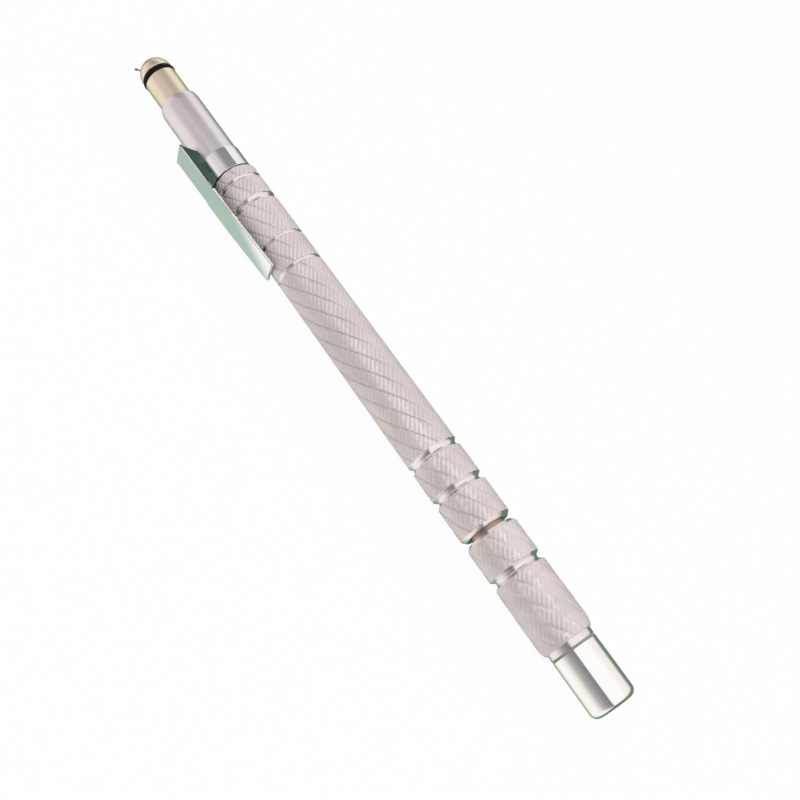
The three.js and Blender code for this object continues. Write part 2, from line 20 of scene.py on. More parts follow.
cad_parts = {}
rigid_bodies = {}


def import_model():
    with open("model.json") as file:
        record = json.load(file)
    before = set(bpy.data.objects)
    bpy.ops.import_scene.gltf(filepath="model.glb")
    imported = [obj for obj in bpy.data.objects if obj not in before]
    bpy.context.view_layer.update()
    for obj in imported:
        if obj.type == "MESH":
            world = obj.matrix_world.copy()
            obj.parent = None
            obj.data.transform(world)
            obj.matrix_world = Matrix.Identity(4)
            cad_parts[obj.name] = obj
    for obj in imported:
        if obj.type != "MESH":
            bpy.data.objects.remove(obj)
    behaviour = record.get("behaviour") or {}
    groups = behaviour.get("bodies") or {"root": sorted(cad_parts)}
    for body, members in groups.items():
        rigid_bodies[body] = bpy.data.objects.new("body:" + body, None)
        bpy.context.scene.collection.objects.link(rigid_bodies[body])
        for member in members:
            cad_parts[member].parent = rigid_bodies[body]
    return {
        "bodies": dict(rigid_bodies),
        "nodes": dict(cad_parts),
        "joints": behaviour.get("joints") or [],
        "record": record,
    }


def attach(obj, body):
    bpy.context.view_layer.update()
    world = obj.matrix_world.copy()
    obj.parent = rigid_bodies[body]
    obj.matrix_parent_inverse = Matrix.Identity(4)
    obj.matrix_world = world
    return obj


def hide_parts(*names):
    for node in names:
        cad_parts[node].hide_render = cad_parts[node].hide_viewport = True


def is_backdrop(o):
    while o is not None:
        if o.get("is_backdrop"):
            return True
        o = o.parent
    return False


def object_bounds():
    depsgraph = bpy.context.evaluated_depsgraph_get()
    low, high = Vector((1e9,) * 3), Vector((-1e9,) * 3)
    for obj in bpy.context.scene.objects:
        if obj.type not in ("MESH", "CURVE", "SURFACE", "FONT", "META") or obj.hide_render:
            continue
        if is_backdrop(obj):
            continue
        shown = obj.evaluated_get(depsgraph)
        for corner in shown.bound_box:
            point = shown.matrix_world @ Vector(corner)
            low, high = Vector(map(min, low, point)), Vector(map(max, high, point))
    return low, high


log = logging.getLogger("scriber")

MM = 0.001
FULL_TURN = 2 * math.pi
RESTING_ROLL = math.radians(48.5)
ROLLED = Matrix.Rotation(RESTING_ROLL, 4, "X")
WELD = 1e-4
LONG_LENGTH = 0.8
SUPPORT = 0.1
BUMP_STRENGTH = 0.35
HANDLING_SCALE = 160.0
HANDLING_SHADE = 0.18

Colour = tuple[float, float, float]
Profile = list[tuple[float, float]]
Run = tuple[tuple[float, Colour], ...]
Socket = bpy.types.NodeSocket


class Slot(Enum):
    """The record's material slots."""

    CARBIDE = "carbide"
    TOOL_STEEL = "tool_steel"
    POLISHED_BRASS = "polished_brass"
    PLAIN_BRASS = "plain_brass"
    RUBBER = "black_rubber"
    NECK_STEEL = "neck_steel"
    KNURLED_STEEL = "knurled_steel"
    CLIP_CHROME = "clip_chrome"
    CAP_STEEL = "cap_steel"


class Grain(Enum):
    """How the fine marks of a surface run."""

    TURNED = (1.0, 0.06, 0.06)
    DRAWN = (0.05, 1.0, 1.0)
    EVEN = (1.0, 1.0, 1.0)


# Shading


class Nodes:
    """Adds nodes to one tree and links them."""

    def __init__(self, tree: bpy.types.NodeTree) -> None:
        """Keeps and empties the node tree of a material, a world or a group."""
        self.tree = tree
        tree.nodes.clear()

    def add(self, kind: str, inputs: dict | None = None, **settings) -> bpy.types.Node:
        """Adds one node.

        Args:
            kind: the node's type name.
            inputs: values or sockets by input name or number.
            **settings: attributes of the node, such as its operation.

        Returns:
            The new node.
        """
        node = self.tree.nodes.new(kind)
        for name, value in settings.items():
            setattr(node, name, value)
        for name, value in (inputs or {}).items():
            if isinstance(value, Socket):
                self.tree.links.new(value, node.inputs[name])
            else:
                node.inputs[name].default_value = value
        return node

    def maths(self, operation: str, *values: float | Socket) -> Socket:
        """Adds a Math node with its inputs in order, and returns the result's socket."""
        return self.add("ShaderNodeMath", dict(enumerate(values)), operation=operation).outputs[0]

    def mixed(self, share: float | Socket, first: tuple | Socket, second: tuple | Socket) -> Socket:
        """Mixes two colours, of which the first shows at a share of 0 and the second at 1."""
        inputs = {0: share, 6: first, 7: second}
        return self.add("ShaderNodeMix", inputs, data_type="RGBA").outputs[2]

    def eased(self, value: Socket, low: float, high: float) -> Socket:
        """Brings a value smoothly from 0 at low to 1 at high, and returns its socket."""
        inputs = {"Value": value, "From Min": low, "From Max": high}
        return self.add("ShaderNodeMapRange", inputs, interpolation_type="SMOOTHSTEP").outputs["Result"]


def opaque(colour: Colour) -> tuple[float, float, float, float]:
    """A colour with an alpha of 1, as sockets want it."""
    return (*colour, 1.0)


def surface_marks() -> bpy.types.NodeTree:
    """The group that varies every finish: fine marks, handling smudges, painted shade in its hollows and worn
    edges.

    Returns:
        A group with the outputs Color, Roughness and Height.
    """
    name = "surface_marks"
    if name in bpy.data.node_groups:
        return bpy.data.node_groups[name]
    group = bpy.data.node_groups.new(name, "ShaderNodeTree")
    for way, kind, labels in (
        ("INPUT", "Color", ("Color", "Hollow Color", "Edge Color")),
        ("INPUT", "Float", ("Roughness", "Roughness Spread", "Grain Scale", "Shade And Wear")),
        ("INPUT", "Vector", ("Grain",)),
        ("OUTPUT", "Color", ("Color",)),
        ("OUTPUT", "Float", ("Roughness", "Height")),
    ):
        for label in labels:
            group.interface.new_socket(name=label, in_out=way, socket_type="NodeSocket" + kind)
    kit = Nodes(group)
    given = kit.add("NodeGroupInput").outputs
    place = kit.add("ShaderNodeTexCoord").outputs["Object"]
    along = kit.add("ShaderNodeVectorMath", {0: place, 1: given["Grain"]}, operation="MULTIPLY").outputs[0]
    lines = kit.add(
        "ShaderNodeTexNoise",
        {"Vector": along, "Scale": given["Grain Scale"], "Detail": 4.0, "Roughness": 0.65},
    ).outputs["Fac"]
    handling = kit.add(
        "ShaderNodeTexNoise",
        {"Vector": place, "Scale": HANDLING_SCALE, "Detail": 3.0, "Roughness": 0.55},
    ).outputs["Fac"]
    pointed = kit.add("ShaderNodeNewGeometry").outputs["Pointiness"]
    # Painted shade: hollows, found by pointiness, darken towards the hollow colour as far as the given share
    # says; edges pass to the edge colour as worn metal.
    hollow = kit.maths("SUBTRACT", 1.0, kit.eased(pointed, 0.36, 0.5))
    edge = kit.eased(pointed, 0.51, 0.62)
    hollow_shaded = kit.mixed(kit.maths("MULTIPLY", hollow, given["Shade And Wear"]), given["Color"], given["Hollow Color"])
    worn = kit.mixed(kit.maths("MULTIPLY", edge, given["Shade And Wear"]), hollow_shaded, given["Edge Color"])
    shade = kit.maths("MULTIPLY", kit.eased(handling, 0.3, 0.75), HANDLING_SHADE)
    smudged = kit.mixed(shade, worn, given["Hollow Color"])
    uneven = kit.maths("ADD", kit.maths("MULTIPLY", lines, 0.5), kit.maths("MULTIPLY", handling, 0.5))
    centred = kit.maths("SUBTRACT", uneven, 0.5)
    spread = kit.maths("MULTIPLY", centred, given["Roughness Spread"])
    rough = kit.maths("ADD", given["Roughness"], spread)
    kit.add("NodeGroupOutput", {"Color": smudged, "Roughness": rough, "Height": lines})
    return group


@dataclass(frozen=True)
class Finish:
    """One surface finish, made into a material once."""

    slot: Slot
    colour: Colour
    # Colour of the painted shade in hollows, and of handling smudges.
    hollow: Colour
    edge: Colour
    roughness: float
    spread: float = 0.1
    metallic: float = 1.0
    grain: Grain = Grain.TURNED
    grain_scale: float = 9000.0
    grain_depth: float = 0.002
    # How far hollows take the painted shade and edges the worn edge colour.
    shade_and_wear: float = 0.5
    specular: float = 0.5
    # A painted reflection: start and end along X, and lean, over which the colour passes into the edge
    # colour.
    painted_reflection: tuple[float, float, float] | None = None
    name: str = ""

    def material(self) -> bpy.types.Material:
        """The finish's material.

        Returns:
            The material, which all pieces of this finish share.
        """
        name = self.name or self.slot.value
        if name in bpy.data.materials and bpy.data.materials[name].get("dressed"):
            return bpy.data.materials[name]
        material = bpy.data.materials.new(name)
        material["dressed"] = True
        material.use_nodes = True
        kit = Nodes(material.node_tree)
        values = {
            "Color": opaque(self.colour),
            "Hollow Color": opaque(self.hollow),
            "Edge Color": opaque(self.edge),
            "Roughness": self.roughness,
            "Roughness Spread": self.spread,
            "Grain": self.grain.value,
            "Grain Scale": self.grain_scale,
            "Shade And Wear": self.shade_and_wear,
        }
        marks = kit.add("ShaderNodeGroup", values, node_tree=surface_marks()).outputs
        colour = self.with_painted_reflection(kit, marks["Color"]) if self.painted_reflection else marks["Color"]
        depth = self.grain_depth * MM
        bump_inputs = {"Strength": BUMP_STRENGTH, "Distance": depth, "Height": marks["Height"]}
        bump = kit.add("ShaderNodeBump", bump_inputs)
        shader = kit.add(
            "ShaderNodeBsdfPrincipled",
            {
                "Base Color": colour,
                "Roughness": marks["Roughness"],
                "Metallic": self.metallic,
                "Specular IOR Level": self.specular,
                "Normal": bump.outputs["Normal"],
            },
        )
        kit.add("ShaderNodeOutputMaterial", {"Surface": shader.outputs["BSDF"]})
        return material

    def with_painted_reflection(self, kit: Nodes, colour: Socket) -> Socket:
        """Paints a reflection: lets the colour pass into the edge colour over a stretch of the tool.

        The stretch is a start and an end along X in millimetres, and how far it shifts per
        millimetre of height.

        Args:
            kit: the material's nodes.
            colour: the colour before the stretch.

        Returns:
            The fading colour's socket.
        """
        start, end, lean = self.painted_reflection
        place = kit.add("ShaderNodeTexCoord").outputs["Object"]
        reach = kit.add("ShaderNodeVectorMath", {0: place, 1: (1, 0, lean)}, operation="DOT_PRODUCT")
        share = kit.eased(reach.outputs["Value"], start * MM, end * MM)
        return kit.mixed(share, colour, opaque(self.edge))


# Each finish gives its own colour, then its hollow colour, which is painted shade in hollows and the colour
# of handling smudges, then its worn edge colour.
CARBIDE = Finish(Slot.CARBIDE, (0.12, 0.10, 0.10), (0.05, 0.04, 0.04), (0.3, 0.28, 0.27), 0.32, shade_and_wear=0.3)
TOOL_STEEL = Finish(Slot.TOOL_STEEL, (0.42, 0.38, 0.37), (0.2, 0.17, 0.16), (0.6, 0.58, 0.56), 0.3, shade_and_wear=0.4)
POLISHED_BRASS = Finish(
    Slot.POLISHED_BRASS,
    (0.90, 0.78, 0.60),
    (0.66, 0.53, 0.38),
    (0.98, 0.92, 0.80),
    0.34,
    shade_and_wear=0.25,
    grain_depth=0.004,
)
PLAIN_BRASS = Finish(Slot.PLAIN_BRASS, (0.50, 0.37, 0.29), (0.22, 0.14, 0.11), (0.72, 0.58, 0.47), 0.4)
RUBBER = Finish(
    Slot.RUBBER,
    (0.006, 0.006, 0.006),
    (0.004, 0.004, 0.004),
    (0.02, 0.02, 0.02),
    0.5,
    metallic=0.0,
    grain=Grain.EVEN,
    grain_scale=5000.0,
    grain_depth=0.01,
    specular=0.12,
)
NECK_STEEL = Finish(
    Slot.NECK_STEEL,
    (0.84, 0.78, 0.80),
    (0.64, 0.58, 0.61),
    (0.93, 0.90, 0.91),
    0.32,
    shade_and_wear=0.2,
    grain_depth=0.004,
)
KNURLED_STEEL = Finish(
    Slot.KNURLED_STEEL,
    (0.82, 0.74, 0.735),
    (0.32, 0.26, 0.265),
    (0.95, 0.89, 0.89),
    0.42,
    metallic=0.4,
    grain=Grain.EVEN,
    shade_and_wear=0.75,
)
SEAL_FIBRE = replace(
    RUBBER,
    colour=(0.42, 0.36, 0.33),
    hollow=(0.2, 0.16, 0.14),
    edge=(0.5, 0.45, 0.42),
    specular=0.5,
    name="seal_fibre",
)
TURNED_STEEL = Finish(
    Slot.KNURLED_STEEL,
    (0.88, 0.83, 0.835),
    (0.66, 0.60, 0.60),
    (0.96, 0.94, 0.94),
    0.16,
    shade_and_wear=0.3,
    grain_depth=0.004,
    name="turned_steel",
)
CLIP_CHROME = Finish(
    Slot.CLIP_CHROME,
    (0.86, 0.875, 0.865),
    (0.7, 0.72, 0.7),
    (0.95, 0.96, 0.95),
    0.07,
    spread=0.05,
    grain=Grain.DRAWN,
    shade_and_wear=0.1,
)
# Painted shade: a dark green colour on the clip's cheeks, standing in for the shade and the dark reflections
# that fall on them.
CLIP_SHADE = Finish(
    Slot.CLIP_CHROME,
    (0.05, 0.095, 0.075),
    (0.03, 0.05, 0.04),
    (0.3, 0.36, 0.33),
    0.2,
    grain=Grain.DRAWN,
    shade_and_wear=0.2,
    name="clip_cheek_painted_shade",
)
# Painted reflection: the arm's outer face takes a grey-green colour for the shadowed floor it mirrors, and
# passes into near white towards the free end.
CLIP_FACE_PAINTED_REFLECTION = Finish(
    Slot.CLIP_CHROME,
    (0.40, 0.54, 0.47),
    (0.32, 0.44, 0.38),
    (0.93, 0.95, 0.93),
    0.16,
    spread=0.06,
    grain=Grain.DRAWN,
    shade_and_wear=0.05,
    painted_reflection=(-104.0, -93.0, 2.6),
    name="clip_face_painted_reflection",
)
CAP_STEEL = Finish(
    Slot.CAP_STEEL, (0.985, 0.97, 0.955), (0.88, 0.86, 0.84), (0.99, 0.985, 0.98), 0.09, spread=0.06, shade_and_wear=0.1
)


# Meshes


def rounded(corners: list[tuple[float, float, float]], steps: int = 4) -> Profile:
    """Rounds the corners of a profile.

    Args:
        corners: the station, radius and rounding of each corner, in millimetres.
        steps: how many lengths each rounding has.

    Returns:
        The profile's points.
    """
    points: Profile = []
    last = len(corners) - 1
    for i, (x, r, rounding) in enumerate(corners):
        if rounding <= 0 or i in (0, last):
            points.append((x, r))
            continue
        here = np.array([x, r])
        before = np.array(corners[i - 1][:2]) - here
        after = np.array(corners[i + 1][:2]) - here
        reach = min(rounding, np.linalg.norm(before) / 2, np.linalg.norm(after) / 2)
        start = here + before / np.linalg.norm(before) * reach
        end = here + after / np.linalg.norm(after) * reach
        for k in range(steps + 1):
            t = k / steps
            point = (1 - t) ** 2 * start + 2 * t * (1 - t) * here + t**2 * end
            points.append((float(point[0]), float(point[1])))
    return points


def flat_ring(front: float, end: float, bore: float, radius: float, rounding: float) -> Profile:
    """The profile of a ring with rounded outer edges, in millimetres."""
    return rounded([(front, bore, 0), (front, radius, rounding), (end, radius, rounding), (end, bore, 0)])


def stepped(*places: float) -> Profile:
    """A profile of square steps, from its radii and stations in turn."""
    return [(a, b) if i % 2 else (b, a) for i, (a, b) in enumerate(zip(places[:-1], places[1:]))]


def quarter(
    start: tuple[float, float], end: tuple[float, float], flat_first: bool, steps: int = 16
) -> Profile:
    """Points of a quarter ellipse.

    Args:
        start: its first point, as station and radius.
        end: its last point.
        flat_first: whether it leaves along X.
        steps: how many lengths it has.

    Returns:
        The points, with both ends.
    """
    points: Profile = []
    for i in range(steps + 1):
        turn = i / steps * math.pi / 2
        slow, fast = 1 - math.cos(turn), math.sin(turn)
        along_x, along_r = (fast, slow) if flat_first else (slow, fast)
        points.append((start[0] + (end[0] - start[0]) * along_x, start[1] + (end[1] - start[1]) * along_r))
    return points


def grid_object(
    name: str, points: np.ndarray, closed: bool, sharp: float = 35.0, ahead: int = 0
) -> bpy.types.Object:
    """A surface over a grid of points whose columns wrap round.

    Args:
        name: the piece's name.
        points: rows by columns by three, in millimetres.
        closed: whether the last row joins the first.
        sharp: the angle in degrees from which an edge stays sharp.
        ahead: by how many columns the last row has turned past the first.

    Returns:
        The new object, with smooth faces that look outwards.
    """
    rows, columns = points.shape[:2]
    row = np.arange(rows if closed else rows - 1)[:, None]
    column = np.arange(columns)[None, :]
    shift = np.where(row == rows - 1, ahead, 0)
    below = (row + 1) % rows
    corners = [
        row * columns + column,
        row * columns + (column + 1) % columns,
        below * columns + (column + 1 + shift) % columns,
        below * columns + (column + shift) % columns,
    ]
    faces = np.stack(np.broadcast_arrays(*corners), axis=-1).reshape(-1, 4)
    mesh = bpy.data.meshes.new(name)
    mesh.from_pydata((points.reshape(-1, 3) * MM).tolist(), [], faces.tolist())
    return finished_object(name, mesh, sharp)


def placed(stations: np.ndarray, radii: np.ndarray, turns: np.ndarray) -> np.ndarray:
    """Points at stations, radii and turns from the top towards -Y, which are broadcast together."""
    parts = np.broadcast_arrays(stations, -radii * np.sin(turns), radii * np.cos(turns))
    return np.stack(parts, axis=-1)


def linked(name: str, data: bpy.types.ID) -> bpy.types.Object:
    """Puts a new object in the scene."""
    made = bpy.data.objects.new(name, data)
    bpy.context.scene.collection.objects.link(made)
    return made


def finished_object(name: str, mesh: bpy.types.Mesh, sharp: float = 35.0) -> bpy.types.Object:
    """Welds a mesh, turns its faces outwards, shades it and puts it in the scene.

    Args:
        name: the piece's name.
        mesh: its mesh.
        sharp: the angle in degrees from which an edge stays sharp.

    Returns:
        The new object.
    """
    work = bmesh.new()
    work.from_mesh(mesh)
    bmesh.ops.remove_doubles(work, verts=work.verts, dist=WELD * MM)
    bmesh.ops.recalc_face_normals(work, faces=work.faces)
    work.transform(ROLLED)
    work.to_mesh(mesh)
    work.free()
    mesh.shade_smooth()
    mesh.set_sharp_from_angle(angle=math.radians(sharp))
    return linked(name, mesh)


def supported(profile: Profile) -> Profile:
    """Adds points near the ends of long lengths, so that their shading stays true to the edges.

    Args:
        profile: the profile's points, in millimetres.

    Returns:
        The profile with the added points.
    """
    points: Profile = []
    for start, end in zip(profile[:-1], profile[1:]):
        points.append(start)
        length = math.dist(start, end)
        if length > LONG_LENGTH:
            for share in (SUPPORT / length, 1 - SUPPORT / length):
                x, r = (a + (b - a) * share for a, b in zip(start, end))
                points.append((x, r))
    return [*points, profile[-1]]


def turned(name: str, profile: Profile, sides: int = 128, closed: bool = False) -> bpy.types.Object:
    """A turned piece.

    Args:
        name: the piece's name.
        profile: its stations and radii in millimetres.
        sides: how many flats go round.
        closed: whether the profile ends where it began, as a ring's does.

    Returns:
        The new object.
    """
    points = supported(profile)
    stations = np.array([x for x, _ in points])[:, None]
    radii = np.array([r for _, r in points])[:, None]
    turns = np.arange(sides)[None, :] * FULL_TURN / sides
    return grid_object(name, placed(stations, radii, turns), closed)


def dressed(piece: bpy.types.Object, finish: Finish, body: str, *nodes: str) -> bpy.types.Object:
    """Gives a piece its finish and its body, and reports it.

    Args:
        piece: the piece.
        finish: its finish.
        body: the body that it rides on.
        *nodes: the nodes that it stands for.

    Returns:
        The same piece.
    """
    piece.data.materials.append(finish.material())
    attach(piece, body)
    if nodes:
        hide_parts(*nodes)
    log.info("%s rides on %s in %s", piece.name, body, finish.slot.value)
    return piece


def redressed(frame: dict, finish: Finish, *nodes: str) -> None:
    """Gives CAD nodes that stay in view a better material.

    Args:
        finish: their finish.
        *nodes: their names.
    """
    for name in nodes:
        for slot in frame["nodes"][name].material_slots:
            slot.material = finish.material()
        log.info("%s keeps its solid in %s", name, finish.slot.value)


# The tool


@dataclass
class Nose:
    """The brass nose with its ring, stem and bit."""

    dome_middle: float = -137.7
    radius: float = 3.1
    end: float = -127.5
    chamfer: float = 0.2
    bore: float = 2.5
    bore_front: float = -132.3
    ring_from_dome: float = 0.9
    ring_section: float = 0.55
    ring_stands_out: float = 0.16
    ring_fit: float = 0.05
    ring_sides: int = 32
    ring_flat: float = 0.92
    stem_angle: float = 36.0
    stem_radius: float = 0.15
    stem_start: float = 1.5
    stem_root: float = 1.15
    stem_sides: int = 32
    stem_length: float = 2.75
    bit_radius: float = 0.22
    bit_length: float = 0.6
    bit_point: float = 0.3

    def barrel(self) -> bpy.types.Object:
        """The dome and the barrel, turned in one, with the ring's groove."""
        middle = self.dome_middle + self.ring_from_dome
        half = self.ring_section + self.ring_fit
        floor = self.radius + self.ring_stands_out - 2 * self.ring_section - self.ring_fit
        dome = quarter((self.dome_middle - self.radius, 0), (self.dome_middle, self.radius), False, 28)
        rest = rounded(
            [
                (self.dome_middle, self.radius, 0),
                (middle - half, self.radius, 0.06),
                (middle - half, floor, 0),
                (middle + half, floor, 0),
                (middle + half, self.radius, 0.06),
                (self.end - self.chamfer, self.radius, 0.03),
                (self.end, self.radius - self.chamfer, 0.03),
                (self.end, self.bore, 0),
                (self.bore_front, self.bore, 0),
                (self.bore_front, 0, 0),
            ]
        )
        return turned("nose_barrel_turned", dome + rest[1:])

    def ring(self) -> bpy.types.Object:
        """The O-ring, a little flattened where it meets the groove's floor."""
        middle = self.dome_middle + self.ring_from_dome
        centre = self.radius + self.ring_stands_out - self.ring_section
        profile = []
        for turn in np.arange(self.ring_sides) * FULL_TURN / self.ring_sides:
            x = middle - self.ring_section * math.cos(turn)
            r = centre + self.ring_section * math.sin(turn)
            profile.append((x, max(r, centre - self.ring_flat * self.ring_section)))
        return turned("nose_o_ring_moulded", profile, closed=True)

    def leaning(self, piece: bpy.types.Object) -> bpy.types.Object:
        """Stands a piece that is drawn along X on the dome.

        Args:
            piece: the piece, with the dome's middle at X = 0.

        Returns:
            The same piece.
        """
        lean = Matrix.Rotation(math.radians(self.stem_angle), 4, "Z")
        shift = Matrix.Translation((self.dome_middle * MM, 0, 0))
        piece.data.transform(ROLLED @ shift @ lean @ ROLLED.inverted())
        return piece

    def build(self) -> None:
        """Makes the nose's pieces."""
        dressed(self.barrel(), POLISHED_BRASS, "nose", "nose_barrel")
        dressed(self.ring(), RUBBER, "nose", "nose_o_ring")
        front = -(self.stem_start + self.stem_length)
        r = self.stem_radius
        root = -self.stem_start
        outline = [(front, 0), (front, r), (root, r * self.stem_root), (root, 0)]
        stem = turned("point_stem_ground", outline, self.stem_sides)
        dressed(self.leaning(stem), TOOL_STEEL, "nose", "point_stem")
        tip = front - self.bit_length
        b = self.bit_radius
        corners = [
            (tip, 0, 0),
            (tip + 0.02, 0.02, 0),
            (tip + self.bit_point, b, 0.08),
            (front - 0.02, b, 0.04),
            (front, b * 0.8, 0),
            (front, 0, 0),
        ]
        bit = turned("carbide_tip_ground", rounded(corners), self.stem_sides)
        dressed(self.leaning(bit), CARBIDE, "nose", "carbide_tip")


@dataclass
class Neck:
    """The smooth neck that the nose comes out of, with its spigot."""

    front: float = -129.9
    shoulder: float = -115.3
    grip_front: float = -110.4
    end: float = -100.4
    radius: float = 3.75
    bore: float = 3.31
    seat: float = 3.48
    spigot: float = 3.4
    guide_bore: float = 2.6
    rounding_length: float = 1.7
    rounding_height: float = 0.3
    edge: float = 0.05
    lip: float = 0.04

    def build(self) -> None:
        """Makes the neck."""
        mouth = quarter(
            (self.front + self.edge, self.radius - self.rounding_height),
            (self.front + self.rounding_length, self.radius),
            False,
        )
        outside = (self.radius - self.edge, self.shoulder, self.seat, self.grip_front, self.spigot, self.end)
        inside = (self.guide_bore, self.shoulder, self.bore, self.front + self.lip)
        outline = [
            (self.front, self.bore + self.lip),
            *mouth,
            (self.shoulder - self.edge, self.radius),
            *stepped(*outside, *inside),
        ]
        dressed(turned("neck_sleeve_turned", outline, closed=True), NECK_STEEL, "handle", "neck_sleeve")


@dataclass
class PocketClip:
    """The pressed clip: a band round the neck and a channel that runs out into a flat arm."""

    band_front: float = -115.25
    band_end: float = -110.7
    band_bore: float = 3.58
    band_radius: float = 3.93
    fold: float = -119.6
    bend: float = -102.7
    tip: float = -90.6
    heights: tuple[float, float, float] = (6.15, 5.8, 5.17)
    sheet: float = 0.5
    width: float = 4.8
    base_width: float = 3.9
    base_height: float = 3.48
    front_slope: float = 2.3
    rear_slope: float = 1.9
    roll: float = 60.0
    corner: float = 0.42
    washer_end: float = -110.425
    washer_front: float = -110.675
    washer_bore: float = 3.58
    washer_stands_out: float = 0.16

    def height(self, x: float) -> float:
        """How far the arm's outer face stands from the axis at a station."""
        return float(np.interp(x, (self.fold, self.bend, self.tip), self.heights))

    def cheek_foot(self, x: float) -> float:
        """How low the cheeks reach.

        Args:
            x: the station.

        Returns:
            The height of the cheeks' lower edge.
        """
        low = self.base_height
        front_foot, rear_foot = self.fold + self.front_slope, self.band_end - 0.1
        stations = (self.fold, front_foot, rear_foot, self.band_end + self.rear_slope)
        levels = (self.height(self.fold), low + 0.06, low + 0.06, self.height(self.band_end))
        inside = self.band_front + 0.1 < x < self.band_end - 0.1
        foot = low if inside else float(np.interp(x, stations, levels))
        return min(foot, self.height(x) - self.sheet)

    def section(self, x: float) -> Profile:
        """The clip's cross-section at a station, as a closed loop.

        Args:
            x: the station.

        Returns:
            Its corners, as distances across and heights.
        """
        top, foot = self.height(x), self.cheek_foot(x)
        span = self.heights[0] - self.sheet / 2 - self.base_height

        def half(z: float) -> float:
            """Half the width at a height."""
            share = (z - self.base_height) / span
            return min(self.width, self.base_width + (self.width - self.base_width) * share) / 2

        bend = self.corner if foot < top - self.sheet - 0.02 else 0.16
        side: Profile = [(half(foot), foot), (half(top - bend), top - bend)]
        for k in range(1, 6):
            turn = k / 6 * math.pi / 2
            across = self.width / 2 - bend + bend * math.cos(turn)
            side.append((across, top - bend + bend * math.sin(turn)))
        side.append((self.width / 2 - bend, top))
        inner = top - self.sheet
        under = [(half(inner) - self.sheet, inner), (half(foot) - self.sheet, foot)]
        left = [(-y, z) for y, z in reversed(side)]
        left_under = [(-y, z) for y, z in reversed(under)]
        return [*side, *left, *left_under, *under]

    def stations(self) -> np.ndarray:
        """The stations of the clip's sections."""
        cheek_end = self.band_end + self.rear_slope
        marks = [
            *np.linspace(self.fold, self.fold + self.front_slope, 16),
            self.band_front + 0.05,
            self.band_front + 0.15,
            *np.linspace(self.band_front + 0.6, self.band_end - 0.15, 8),
            *np.linspace(self.band_end - 0.05, cheek_end + 0.1, 16),
            *np.linspace(cheek_end + 0.8, self.bend - 0.6, 5),
            *np.linspace(self.bend - 0.3, self.bend + 0.6, 5),
            *np.linspace(self.bend + 2, self.tip, 8),
        ]
        return np.array(sorted(marks))

    def arm(self) -> bpy.types.Object:
        """The arm and its two cheeks."""
        stations = self.stations()
        rows = [[(x, y, z) for y, z in self.section(x)] for x in stations]
        made = grid_object("pocket_clip_arm", np.array(rows), False)
        mesh = made.data
        work = bmesh.new()
        work.from_mesh(mesh)
        bmesh.ops.holes_fill(work, edges=[e for e in work.edges if e.is_boundary], sides=0)
        bmesh.ops.dissolve_degenerate(work, edges=work.edges, dist=1e-3 * MM)
        bmesh.ops.recalc_face_normals(work, faces=work.faces)
        turn = Matrix.Rotation(math.radians(self.roll), 4, "X")
        work.transform(turn)
        work.normal_update()
        across, outwards = (ROLLED @ turn) @ Vector((0, 1, 0)), (ROLLED @ turn) @ Vector((0, 0, 1))
        cheek_end = (self.band_end + self.rear_slope) * MM
        # The cheeks before the cheek's end take the painted shade, slot 1, and the outer face the painted
        # reflection, slot 2.
        for face in work.faces:
            if abs(face.normal.dot(across)) > 0.9 and face.calc_center_median().x < cheek_end:
                face.material_index = 1
            elif face.normal.dot(outwards) > 0.9:
                face.material_index = 2
        work.to_mesh(mesh)
        work.free()
        return eased_edges(made, 0.05)

    def build(self) -> None:
        """Makes the clip and its washer."""
        arm = dressed(self.arm(), CLIP_CHROME, "clip", "pocket_clip")
        # Adds the cheeks' painted shade and the outer face's painted reflection.
        for finish in (CLIP_SHADE, CLIP_FACE_PAINTED_REFLECTION):
            arm.data.materials.append(finish.material())
        band = flat_ring(self.band_front, self.band_end, self.band_bore, self.band_radius, 0.05)
        dressed(turned("pocket_clip_band", band, closed=True), CLIP_CHROME, "clip", "pocket_clip")
        outer = self.band_radius + self.washer_stands_out
        washer = flat_ring(self.washer_front, self.washer_end, self.washer_bore, outer, 0.06)
        dressed(turned("clip_washer_cut", washer, closed=True), RUBBER, "handle", "clip_washer")


def eased_edges(piece: bpy.types.Object, width: float) -> bpy.types.Object:
    """Rounds a piece's sharp edges.

    Args:
        piece: the piece.
        width: the rounding in millimetres.

    Returns:
        The same piece.
    """
    bevel = piece.modifiers.new("eased edges", "BEVEL")
    bevel.width = width * MM
    bevel.segments = 2
    bevel.limit_method = "ANGLE"
    bevel.angle_limit = math.radians(40)
    bevel.harden_normals = True
    return piece


@dataclass(frozen=True)
class Groove:
    """A ring groove: its middle, its width at the top and at the floor, and its depth."""

    middle: float
    opening: float
    floor: float
    depth: float


